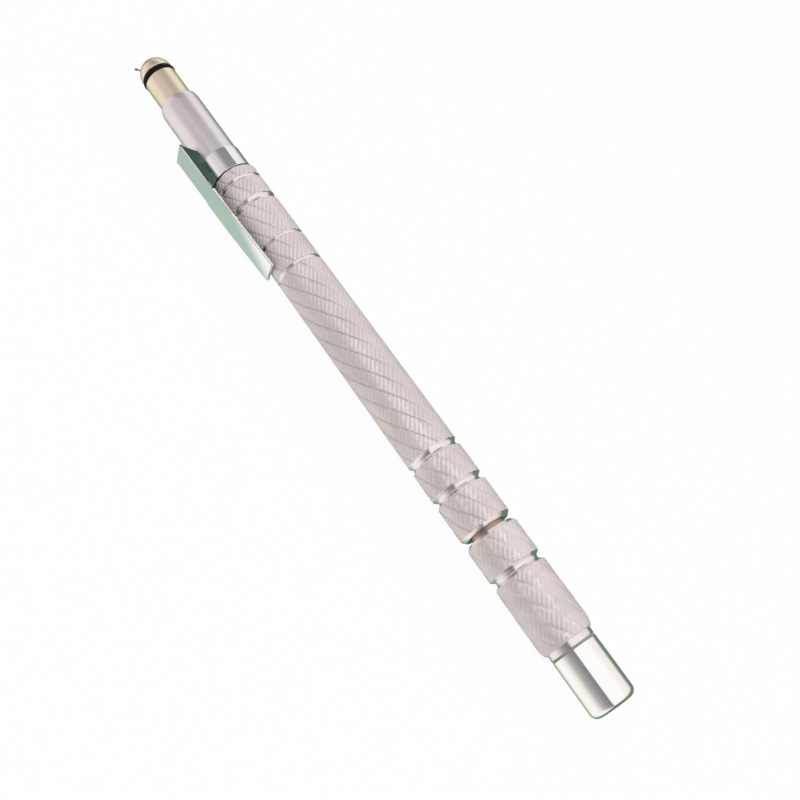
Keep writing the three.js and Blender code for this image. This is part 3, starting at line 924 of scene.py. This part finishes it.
@dataclass
class KnurledGrip:
    """A taper with spiral flutes, fine ribs of the other hand and turned ring grooves."""

    name: str
    body: str
    node: str
    front: float
    end: float
    grooves: list[Groove]
    front_chamfer: tuple[float, float]
    end_chamfer: tuple[float, float] | None
    bores: Profile
    collar: float = 0.0
    crown: tuple[float, float] = (2.4, 0.62)
    collar_radius: float = 4.0
    collar_edge: float = 0.06
    runout: float = 0.5
    taper: tuple[float, float, float, float] = (-110.4, -10.8, 4.33, 4.78)
    flutes: int = 10
    flute_lead: float = 42.0
    flute_depth: float = 0.2
    flute_half: float = 0.05
    ribs: int = 32
    rib_lead: float = 40.0
    rib_depth: float = 0.09
    rib_valley: float = 0.36
    columns_per_rib: int = 8
    step: float = 0.13
    fine_step: float = 0.06

    def full(self, x: float | np.ndarray) -> float | np.ndarray:
        """The taper's radius at a station."""
        return np.interp(x, self.taper[:2], self.taper[2:])

    def outline(self) -> Profile:
        """The grip's outer outline, as it was turned."""
        length, height = self.front_chamfer
        points: Profile = [(self.front, float(self.full(self.front)) - height)]
        points.append((self.front + length, float(self.full(self.front + length))))
        for groove in sorted(self.grooves, key=lambda g: g.middle):
            bottom = float(self.full(groove.middle)) - groove.depth
            start, stop = groove.middle - groove.opening / 2, groove.middle + groove.opening / 2
            corners = [
                (start, float(self.full(start)), 0),
                (groove.middle - groove.floor / 2, bottom, groove.floor / 2),
                (groove.middle + groove.floor / 2, bottom, groove.floor / 2),
                (stop, float(self.full(stop)), 0),
            ]
            points += rounded(corners, 5)
        if self.end_chamfer:
            length, height = self.end_chamfer
            points.append((self.end - length, float(self.full(self.end - length))))
            points.append((self.end, float(self.full(self.end)) - height))
            return points
        shoulder = self.end - self.collar
        start = shoulder - self.crown[0]
        top = float(self.full(start))
        points += quarter((start, top), (shoulder, top - self.crown[1]), True, 24)
        edge, radius = self.collar_edge, self.collar_radius
        points += [(shoulder + 0.01, radius), (self.end - edge, radius), (self.end, radius - edge)]
        return points

    def refined(self) -> Profile:
        """The outline with close stations, closer still on its slopes."""
        points: Profile = []
        outline = self.outline()
        for (x0, r0), (x1, r1) in zip(outline[:-1], outline[1:]):
            step = self.fine_step if abs(r1 - r0) > 0.1 else self.step
            count = max(1, math.ceil(math.hypot(x1 - x0, r1 - r0) / step))
            points += [(x0 + (x1 - x0) * k / count, r0 + (r1 - r0) * k / count) for k in range(count)]
        return [*points, outline[-1]]

    def knurl(self, x: np.ndarray, turn: np.ndarray) -> np.ndarray:
        """How deep the flutes and ribs are cut at a place.

        Args:
            x: stations.
            turn: angles about the axis.

        Returns:
            The depth under the taper.
        """
        start = self.taper[0]
        pitch = FULL_TURN / self.flutes
        off_flute = (turn + FULL_TURN * (x - start) / self.flute_lead + pitch / 2) % pitch - pitch / 2
        flute = np.clip(1 - np.abs(off_flute) / self.flute_half, 0, 1)
        flute = flute * flute * (3 - 2 * flute)
        rib_pitch = FULL_TURN / self.ribs
        place = ((turn - FULL_TURN * (x - self.front) / self.rib_lead) % rib_pitch) / rib_pitch
        off_valley = 1 - np.abs(2 * place - 1)
        valley = np.clip(1 - off_valley / (2 * self.rib_valley), 0, 1)
        depth = np.maximum(self.flute_depth * flute, self.rib_depth * valley)
        if self.end_chamfer:
            return depth
        return depth * np.clip((self.end - self.collar - x) / self.runout, 0, 1)

    def crowned(self, x: np.ndarray) -> np.ndarray:
        """Whether a station lies on the knurled crown before the collar."""
        shoulder = self.end - self.collar
        return (x > shoulder - self.crown[0]) & (x < shoulder) & (not self.end_chamfer)

    def build(self) -> None:
        """Makes the grip."""
        columns = self.ribs * self.columns_per_rib
        width = FULL_TURN / columns
        length = self.end - self.front
        ahead = round(columns * length / self.rib_lead)
        self.rib_lead = columns * length / ahead
        profile = np.array(self.refined())
        x, r = profile[:, :1], profile[:, 1:]
        turns = np.arange(columns)[None, :] * width + FULL_TURN * (x - self.front) / self.rib_lead
        cut = self.knurl(x, turns)
        outer = placed(x, np.minimum(r, np.where(self.crowned(x), r, self.full(x)) - cut), turns)
        last = np.arange(columns)[None, :] * width + ahead * width
        inner_profile = np.array(self.bores)
        inner = placed(inner_profile[:, :1], inner_profile[:, 1:], last)
        made = grid_object(self.name, np.concatenate([outer, inner]), True, sharp=50.0, ahead=ahead)
        dressed(made, KNURLED_STEEL, self.body, self.node)
        self.brighten_turned_faces(made, profile)

    def brighten_turned_faces(self, made: bpy.types.Object, profile: np.ndarray) -> None:
        """Gives the turned faces of the grooves, chamfers and collar their own finish.

        Args:
            made: the grip.
            profile: its turned outline.
        """
        mesh = made.data
        mesh.materials.append(TURNED_STEEL.material())
        centres = np.empty(len(mesh.polygons) * 3)
        mesh.polygons.foreach_get("center", centres)
        x, y, z = centres.reshape(-1, 3).T / MM
        cosine, sine = math.cos(RESTING_ROLL), math.sin(RESTING_ROLL)
        across, up = y * cosine + z * sine, z * cosine - y * sine
        knurled = self.full(x) - self.knurl(x, np.arctan2(-across, up))
        turned_faces = (np.interp(x, profile[:, 0], profile[:, 1]) < knurled - 0.01) & ~self.crowned(x)
        mesh.polygons.foreach_set("material_index", turned_faces.astype(np.int32))
        mesh.update()


@dataclass
class Drive:
    """The brass core between the grips, and what is hidden inside them."""

    core_front: float = -45.75
    circlip_front: float = -44.2
    circlip_end: float = -43.6
    shoulder: float = -37.5
    end: float = -20.7
    core_radius: float = 3.05
    journal: float = 2.3
    circlip_floor: float = 2.0
    bore: float = 1.45
    bore_end: float = -40.9
    drag_front: float = -36.45
    drag_end: float = -35.55
    drag_floor: float = 2.3

    def build(self, frame: dict) -> None:
        """Makes the core and dresses the solids inside.
        """
        front = (0, self.bore_end, self.bore, self.core_front, self.journal)
        circlip = (self.circlip_front, self.circlip_floor, self.circlip_end, self.journal)
        drag = (self.drag_front, self.drag_floor, self.drag_end, self.core_radius)
        outline = stepped(*front, *circlip, self.shoulder, self.core_radius, *drag, self.end, 0)
        dressed(turned("drive_core_turned", outline), PLAIN_BRASS, "twist_grip", "drive_core")
        redressed(frame, PLAIN_BRASS, "carrier_tube", "drive_nut", "bearing_bush")
        redressed(frame, TOOL_STEEL, "guide_pin", "thrust_washer", "circlip", "drive_bar")
        redressed(frame, RUBBER, "drag_o_ring")


@dataclass
class TailCap:
    """The smooth cap with its screwed spigot, and the seal under its rim."""

    front: float = -10.5
    radius: float = 4.0
    rounding: float = 1.3
    chamfer: float = 0.12
    spigot_end: float = -16.5
    spigot: float = 2.5
    thread_pitch: float = 0.75
    thread_depth: float = 0.3
    thread_sides: int = 72
    seal_front: float = -10.775
    seal_end: float = -10.525
    seal_bore: float = 2.6
    seal_radius: float = 3.96

    def head(self) -> bpy.types.Object:
        """The cap's head, with its rounded end."""
        rim = quarter((-self.rounding, self.radius), (-0.02, self.radius - self.rounding), True, 24)
        outline = [
            (self.front, 0),
            (self.front, self.radius - self.chamfer),
            (self.front + self.chamfer, self.radius),
            (self.front + 0.6, self.radius),
            *rim,
            (0.0, self.radius - self.rounding - 0.15),
            (0.0, 0),
        ]
        return turned("tail_cap_head", outline, 160)

    def screw(self) -> bpy.types.Object:
        """The spigot with its thread."""
        length = self.front - self.spigot_end + 0.1
        stations = np.linspace(self.spigot_end, self.spigot_end + length, 110)[:, None]
        turns = np.arange(self.thread_sides)[None, :] * FULL_TURN / self.thread_sides
        phase = ((stations - self.spigot_end) / self.thread_pitch - turns / FULL_TURN) % 1
        cut = self.thread_depth * np.clip(1.6 * np.abs(2 * phase - 1) - 0.3, 0, 1)
        runout = np.clip((stations - self.spigot_end) / 0.3, 0, 1)
        core = self.spigot - self.thread_depth
        radii = np.minimum(self.spigot - cut, core + self.thread_depth * (0.3 + 0.7 * runout))
        body = placed(stations, radii, turns)
        start = placed(np.array([[self.spigot_end]]), np.array([[0.0]]), turns)
        stop = placed(stations[-1:], np.array([[0.0]]), turns)
        return grid_object("tail_cap_screw", np.concatenate([start, body, stop]), False)

    def build(self) -> None:
        """Makes the cap and its seal."""
        dressed(self.head(), CAP_STEEL, "cap", "tail_cap")
        dressed(self.screw(), CAP_STEEL, "cap", "tail_cap")
        seal = flat_ring(self.seal_front, self.seal_end, self.seal_bore, self.seal_radius, 0.07)
        dressed(turned("cap_seal_cut", seal, closed=True), SEAL_FIBRE, "seal", "cap_seal")


# The studio


@dataclass
class Studio:
    """The camera, the lamps, the floor and the pale surroundings. Sizes are in millimetres."""

    camera_place: Vector = field(default_factory=lambda: Vector((-7.3, 0.9, 178.7)))
    pitch: float = 16.2
    picture_turn: float = 54.27
    axis_turn: float = 0.315
    focal_pixels: float = 1120.0
    picture_pixels: float = 800.0
    sensor: float = 36.0
    floor_size: float = 3000.0
    room_light: float = 1.0
    room: Run = (
        (0, (0.42, 0.40, 0.40)),
        (14, (0.31, 0.305, 0.315)),
        (30, (0.22, 0.23, 0.25)),
        (36, (0.22, 0.23, 0.25)),
        (39, (1.0, 1.0, 1.0)),
        (102, (1.0, 1.0, 1.0)),
        (114, (0.97, 0.92, 0.89)),
        (152, (0.88, 0.83, 0.80)),
        (166, (0.24, 0.32, 0.27)),
        (180, (0.10, 0.17, 0.13)),
    )
    room_ahead: Run = (
        (0, (0.92, 0.88, 0.89)),
        (20, (0.80, 0.75, 0.77)),
        (36, (0.78, 0.73, 0.75)),
        (50, (0.5, 0.47, 0.48)),
        (62, (0.32, 0.31, 0.32)),
        (92, (0.28, 0.275, 0.285)),
        (106, (0.3, 0.29, 0.3)),
        (111, (1.0, 1.0, 1.0)),
        (152, (0.95, 0.93, 0.92)),
        (180, (0.12, 0.19, 0.15)),
    )
    # Painted light and shadow on the floor, seen only in reflections, by distance along Y in millimetres:
    # grey far out on the clip's side, a painted bright cream band beside the tool and a painted dark green
    # shadow under it.
    painted_floor_light_and_shadow: Run = (
        (-64, (0.42, 0.40, 0.40)),
        (-30, (0.54, 0.51, 0.50)),
        (-18, (0.72, 0.68, 0.66)),
        (-11, (0.92, 0.88, 0.85)),
        (-7.6, (1.0, 0.98, 0.94)),
        (-4.4, (1.0, 1.0, 0.95)),
        (-2.5, (0.35, 0.42, 0.34)),
        (-0.5, (0.08, 0.15, 0.11)),
        (8, (0.05, 0.11, 0.08)),
        (20, (0.12, 0.19, 0.15)),
    )
    # The same painted light and shadow past the nose.
    painted_floor_light_and_shadow_ahead: Run = (
        (-64, (0.92, 0.88, 0.89)),
        (-20, (0.97, 0.92, 0.92)),
        (-7.6, (1.0, 0.97, 0.95)),
        (-4.4, (0.95, 0.93, 0.89)),
        (-2.5, (0.35, 0.42, 0.34)),
        (-0.5, (0.08, 0.15, 0.11)),
        (20, (0.12, 0.19, 0.15)),
    )
    floor_ahead: tuple[float, float] = (104.0, 109.0)
    ahead_slant: float = 0.58
    seen_share: float = 0.965
    mirrored_share: float = 0.93
    lamp_place: tuple[float, float, float] = (-70, -120, 430)
    lamp_target: tuple[float, float, float] = (-70, 0, 0)
    lamp_size: tuple[float, float] = (700, 340)
    lamp_power: float = 0.4
    ahead_from: tuple[float, float] = (0.475, 0.5)

    def camera(self) -> None:
        """Sets the camera where the photograph was taken from."""
        data = bpy.data.cameras.new("camera")
        data.sensor_width = self.sensor
        data.lens = self.sensor * self.focal_pixels / self.picture_pixels
        data.clip_start = 0.01
        data.clip_end = 10.0
        pitch, turn = math.radians(self.pitch), math.radians(self.axis_turn)
        along = Vector((math.cos(pitch), 0, -math.sin(pitch)))
        across = Vector((0, -1, 0))
        strip = along * math.cos(turn) + across * math.sin(turn)
        side = across * math.cos(turn) - along * math.sin(turn)
        lean = math.radians(self.picture_turn)
        right = strip * math.cos(lean) - side * math.sin(lean)
        up = -(strip * math.sin(lean) + side * math.cos(lean))
        back = right.cross(up)
        axes = Matrix((right, up, back)).transposed().to_4x4()
        made = linked("camera", data)
        made.matrix_world = ROLLED @ Matrix.Translation(self.camera_place * MM) @ axes
        bpy.context.scene.camera = made

    def lamp(self) -> None:
        """Hangs one soft rectangular lamp, which neither the camera nor a mirror sees."""
        place, target = Vector(self.lamp_place), Vector(self.lamp_target)
        data = bpy.data.lights.new("key_lamp", "AREA")
        data.shape = "RECTANGLE"
        data.size, data.size_y = (s * MM for s in self.lamp_size)
        data.energy = self.lamp_power
        made = linked("key_lamp", data)
        made.visible_camera = False
        made.visible_glossy = False
        turn = (target - place).to_track_quat("-Z", "Y").to_matrix().to_4x4()
        made.matrix_world = Matrix.Translation(place * MM) @ turn

    @staticmethod
    def ramp(kit: Nodes, place: Socket, run: Run) -> Socket:
        """A run of shades.

        Args:
            kit: the nodes that it joins.
            place: where along the run the colour is taken, from 0 to 1.
            run: the places and shades along it, in its own units.

        Returns:
            The colour's socket.
        """
        node = kit.add("ShaderNodeValToRGB", {"Fac": place})
        elements = node.color_ramp.elements
        first, last = run[0][0], run[-1][0]
        for i, (at, shade) in enumerate(run):
            share = (at - first) / (last - first)
            stop = elements[i] if i < 2 else elements.new(share)
            stop.position = share
            stop.color = opaque(shade)
        return node.outputs["Color"]

    def world(self) -> None:
        """Pale surroundings, darker low down on the camera's side and bright above it.

        The shade goes by the height over the horizon on the clip's side, in degrees, so that it is
        90 straight up and 180 at the horizon behind the tool. Ahead of the nose the dark part
        lies higher.
        """
        world = bpy.data.worlds.new("studio")
        bpy.context.scene.world = world
        world.use_nodes = True
        kit = Nodes(world.node_tree)
        direction = kit.add("ShaderNodeTexCoord").outputs["Generated"]
        parts = kit.add("ShaderNodeSeparateXYZ", {0: direction}).outputs
        towards = kit.maths("MULTIPLY", parts["Y"], -1.0)
        height = kit.maths("DIVIDE", kit.maths("ARCTAN2", parts["Z"], towards), math.pi)
        shades = [self.ramp(kit, height, run) for run in (self.room, self.room_ahead)]
        ahead = kit.eased(kit.maths("MULTIPLY", parts["X"], -1.0), *self.ahead_from)
        shade = kit.mixed(ahead, *shades)
        path = kit.add("ShaderNodeLightPath").outputs
        seen = kit.add("ShaderNodeBackground", {"Color": (1, 1, 1, 1)})
        lit = kit.add("ShaderNodeBackground", {"Color": shade, "Strength": self.room_light})
        mixed = {0: path["Is Camera Ray"], 1: lit.outputs[0], 2: seen.outputs[0]}
        mix = kit.add("ShaderNodeMixShader", mixed)
        kit.add("ShaderNodeOutputWorld", {"Surface": mix.outputs[0]})

    def floor(self, level: float) -> None:
        """A wide pale floor that keeps the tool's shadow.

        Mirrors see a painted run of light and shadow in it instead, from the clip's side to the far side:
        a painted bright band beside the tool and a painted dark shadow under it.

        Args:
            level: its height in metres.
        """
        half = self.floor_size * MM / 2
        mesh = bpy.data.meshes.new("floor")
        corners = [(-half, -half, level), (half, -half, level), (half, half, level), (-half, half, level)]
        mesh.from_pydata(corners, [], [(0, 1, 2, 3)])
        made = linked("floor", mesh)
        material = bpy.data.materials.new("floor")
        material.use_nodes = True
        kit = Nodes(material.node_tree)
        place = kit.add("ShaderNodeTexCoord").outputs["Object"]
        grain = kit.add("ShaderNodeTexNoise", {"Vector": place, "Scale": 300.0, "Detail": 2.0}).outputs["Fac"]
        colour = kit.mixed(grain, (0.84, 0.88, 0.84, 1), (0.87, 0.91, 0.87, 1))
        paper = kit.add("ShaderNodeBsdfPrincipled", {"Base Color": colour, "Roughness": 0.9})
        path = kit.add("ShaderNodeLightPath").outputs
        side = kit.add("ShaderNodeSeparateXYZ", {0: place}).outputs["Y"]
        first, last = self.painted_floor_light_and_shadow[0][0], self.painted_floor_light_and_shadow[-1][0]
        ends = {"Value": side, "From Min": first * MM, "From Max": last * MM}
        reach = kit.add("ShaderNodeMapRange", ends).outputs["Result"]
        # Painted light and shadow for reflections, one run beside the tool and one past the nose.
        shades = [self.ramp(kit, reach, run) for run in (self.painted_floor_light_and_shadow, self.painted_floor_light_and_shadow_ahead)]
        ahead = {0: place, 1: (-1, self.ahead_slant, 0)}
        forward = kit.add("ShaderNodeVectorMath", ahead, operation="DOT_PRODUCT")
        start, end = (at * MM for at in self.floor_ahead)
        painted_light_and_shadow = kit.mixed(kit.eased(forward.outputs["Value"], start, end), *shades)
        # The camera sees the glow white; glossy rays see the painted light and shadow.
        glow_colour = kit.mixed(path["Is Camera Ray"], painted_light_and_shadow, (1, 1, 1, 1))
        glow = kit.add("ShaderNodeEmission", {"Color": glow_colour})
        direct = kit.maths("MULTIPLY", path["Is Camera Ray"], self.seen_share)
        mirrored = kit.maths("MAXIMUM", path["Is Glossy Ray"], path["Is Transmission Ray"])
        share = kit.maths("MAXIMUM", direct, kit.maths("MULTIPLY", mirrored, self.mirrored_share))
        mix = kit.add("ShaderNodeMixShader", {0: share, 1: paper.outputs[0], 2: glow.outputs[0]})
        kit.add("ShaderNodeOutputMaterial", {"Surface": mix.outputs[0]})
        mesh.materials.append(material)
        made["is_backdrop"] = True

    def build(self, level: float) -> None:
        """Sets up the studio.

        Args:
            level: the floor's height in metres.
        """
        self.camera()
        self.world()
        self.floor(level)
        self.lamp()
        view = bpy.context.scene.view_settings
        view.view_transform = "Standard"
        log.info("studio ready, floor at %.2f mm", level / MM)


def box_numbers(bounds: tuple[Vector, Vector]) -> list[list[float]]:
    """A box as plain numbers."""
    return [[float(v) for v in corner] for corner in bounds]


def main() -> None:
    """Builds the scriber and its studio."""
    logging.basicConfig(level=logging.INFO, format="%(message)s")
    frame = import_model()
    cad_box = box_numbers(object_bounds())
    Studio().build(cad_box[0][2])
    Nose().build()
    Neck().build()
    PocketClip().build()
    front, gap_end, gap_front, collar_end = -110.4, -33.3, -32.5, -10.8
    KnurledGrip(
        "front_grip_knurled",
        "handle",
        "front_grip",
        front,
        gap_end,
        [
            Groove(front + 2.45, 0.85, 0.45, 0.36),
            Groove(front + 7.3, 1.35, 0.95, 0.4),
            Groove(front + 16.05, 0.7, 0.35, 0.34),
            Groove(front + 21.95, 0.75, 0.4, 0.36),
            Groove(gap_end - 14.6, 1.5, 0.6, 0.47),
            Groove(gap_end - 7.7, 1.6, 0.6, 0.72),
        ],
        (0.3, 0.2),
        (0.65, 0.62),
        [(gap_end, 3.2), (-100.35, 3.2), (-100.35, 3.45), (front, 3.45)],
    ).build()
    KnurledGrip(
        "rear_grip_knurled",
        "twist_grip",
        "rear_grip",
        gap_front,
        collar_end,
        [Groove(gap_front + 7.3, 1.7, 0.7, 0.78)],
        (0.65, 0.62),
        None,
        [(collar_end, 2.6), (-20.7, 2.6), (-20.65, 3.1), (gap_front, 3.1)],
        collar=1.1,
        flute_half=0.14,
        flute_depth=0.14,
    ).build()
    Drive().build(frame)
    TailCap().build()


if __name__ == "__main__":
    main()
